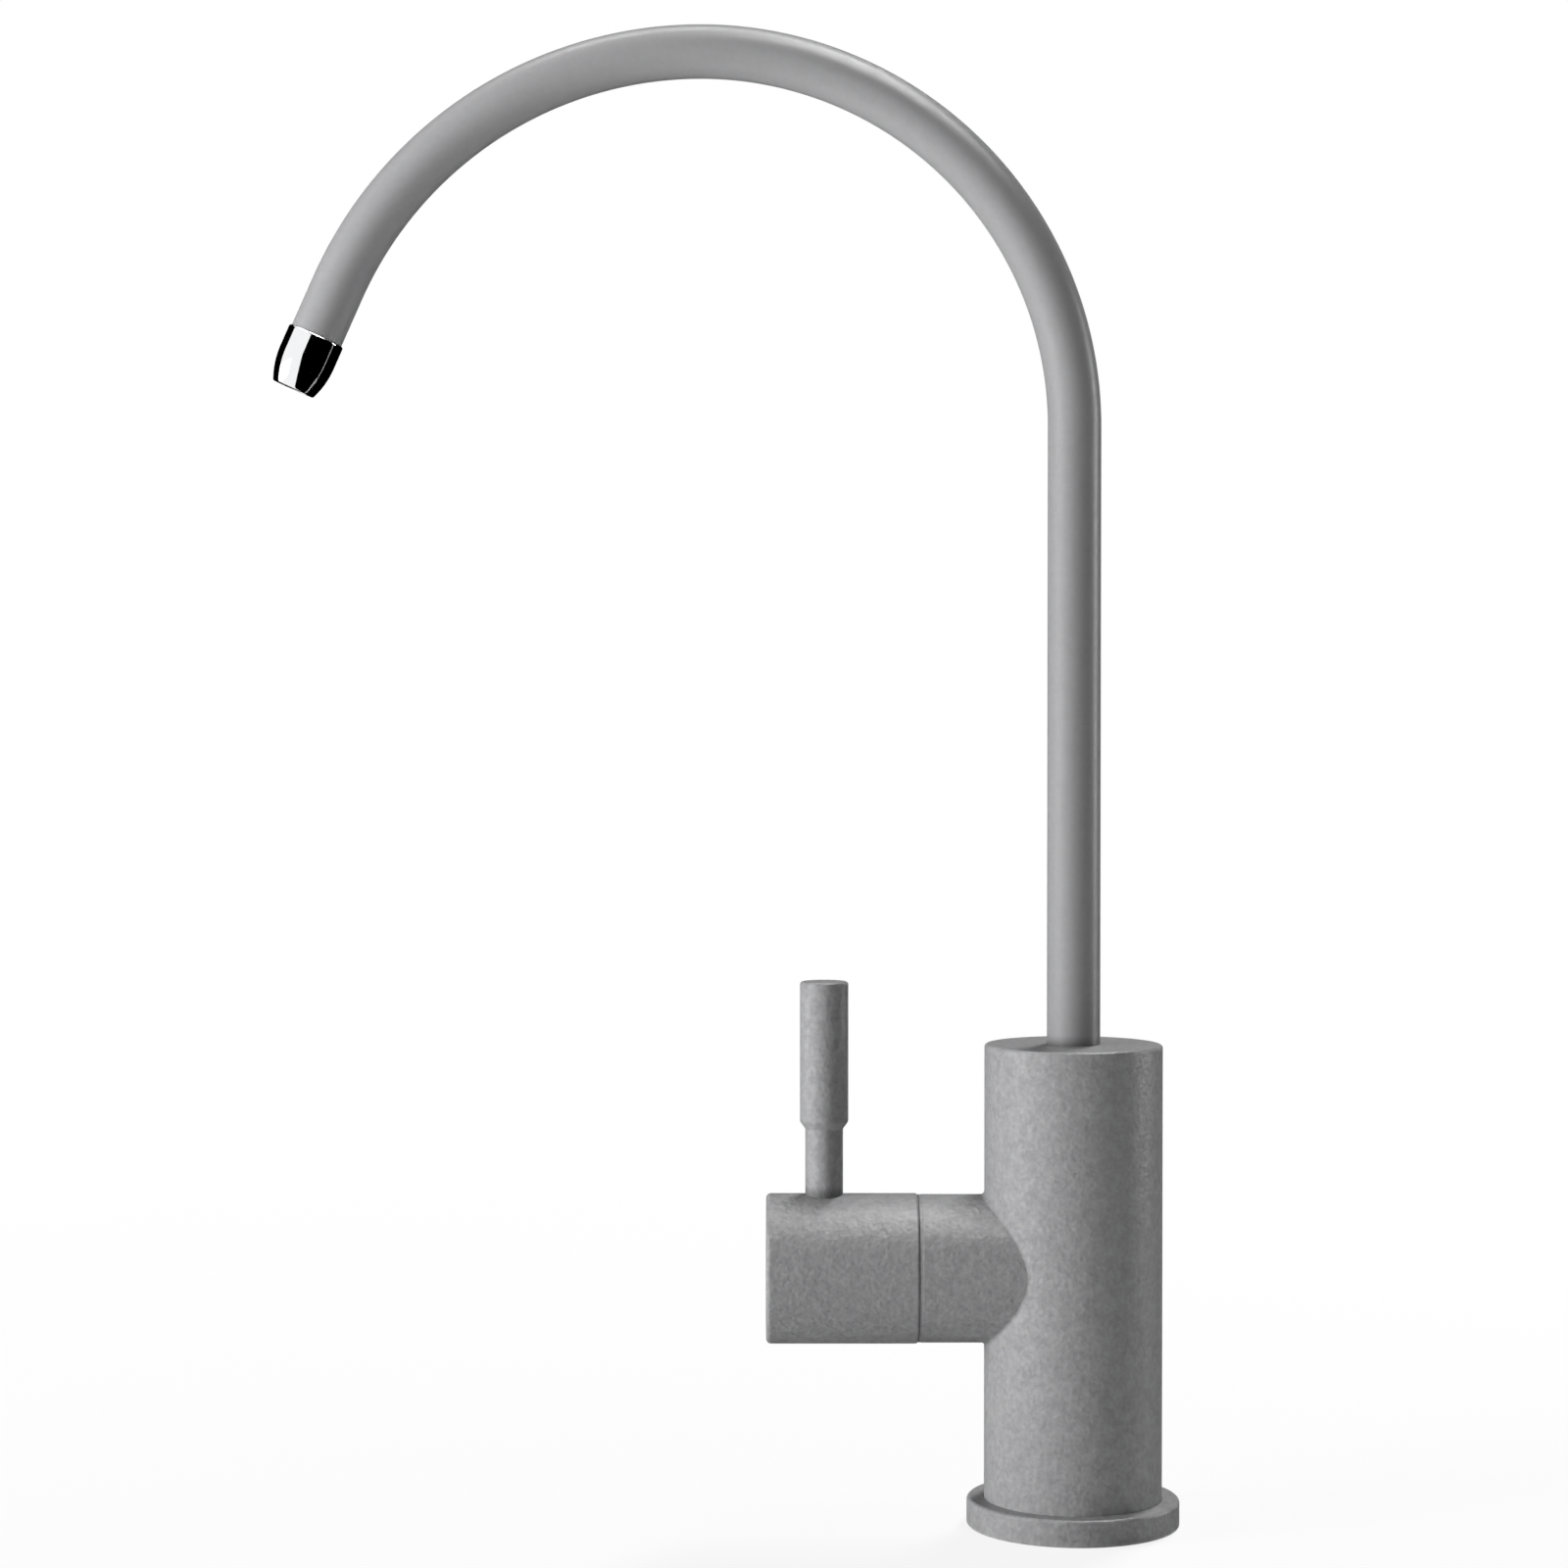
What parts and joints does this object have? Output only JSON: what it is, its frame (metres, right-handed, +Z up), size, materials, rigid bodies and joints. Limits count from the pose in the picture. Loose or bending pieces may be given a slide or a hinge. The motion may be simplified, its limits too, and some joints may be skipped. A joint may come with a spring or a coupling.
{
  "type": "drinking water filter tap",
  "caption": "Deck-mounted drinking water tap with a swivelling swan-neck spout and a pin lever on a side barrel that turns a ceramic-disc valve.",
  "frame": {"origin": "centre of the base flange's underside, on the deck's upper face", "axes": "+Z up along the column, the spout and the valve barrel point along -X, and the lever opens towards -Y"},
  "size_m": [0.1871, 0.044, 0.3596],
  "materials": {
    "speckled_coat": "grey granite-effect powder coat, fine speckle, satin",
    "brass": "machined brass",
    "chrome": "polished chrome plate",
    "steel": "stainless steel",
    "rubber": "matt black rubber",
    "acetal": "white acetal",
    "ceramic": "lapped alumina ceramic"
  },
  "bodies": {
    "tap_body": {"body": "speckled_coat", "base_flange": "speckled_coat", "base_gasket": "rubber", "inlet_shank": "brass", "shank_seal": "rubber", "deck_seal": "rubber", "deck_washer": "steel", "lock_nut": "brass", "valve_gland": "brass", "gland_seal": "rubber", "thrust_washer": "acetal", "fixed_disc": "ceramic", "seat_seal": "rubber"},
    "handle": {"handle_hub": "speckled_coat", "lever": "speckled_coat", "hub_set_screw": "steel", "hub_guide_ring": "acetal", "valve_spindle": "brass", "spindle_seals": "rubber", "spindle_clip": "steel", "stop_washer": "brass", "turning_disc": "ceramic"},
    "spout": {"spout_tube": "speckled_coat", "spout_foot": "brass", "spout_seals": "rubber", "spout_split_ring": "acetal", "outlet_nozzle": "chrome", "nozzle_seal": "rubber", "flow_straightener": "acetal"}
  },
  "joints": [
    {"name": "lever_turn", "type": "hinge", "parent": "tap_body", "child": "handle", "pos_m": [-0.05, 0, 0.0531], "axis": [1, 0, 0], "range_deg": [0, 90]},
    {"name": "spout_swivel", "type": "hinge", "parent": "tap_body", "child": "spout", "pos_m": [0, 0, 0.085], "axis": [0, 0, 1], "continuous": true}
  ]
}
